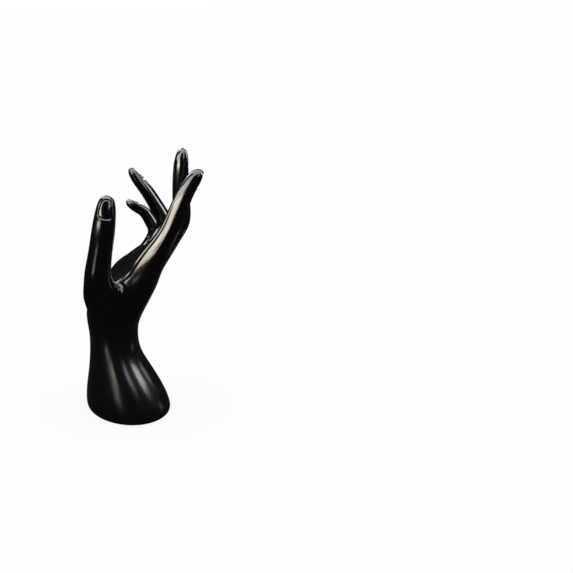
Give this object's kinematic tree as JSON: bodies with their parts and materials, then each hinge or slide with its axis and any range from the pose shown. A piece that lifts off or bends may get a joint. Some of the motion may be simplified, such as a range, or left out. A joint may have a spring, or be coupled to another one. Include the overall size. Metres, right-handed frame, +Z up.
{
  "type": "hand jewelry stand",
  "caption": "Glossy black right hand rising from a flared oval foot, with slim upright and curled fingers, for holding rings and bracelets.",
  "frame": {"origin": "centre of the foot's flat underside, on the table", "axes": "+Z up along the hand, +X the way the back of the hand faces, -Y the thumb side"},
  "size_m": [0.0974, 0.0875, 0.2144],
  "materials": {
    "gloss_black": "gloss"
  },
  "bodies": {
    "root": {"hand_stand": "gloss_black"}
  },
  "joints": []
}
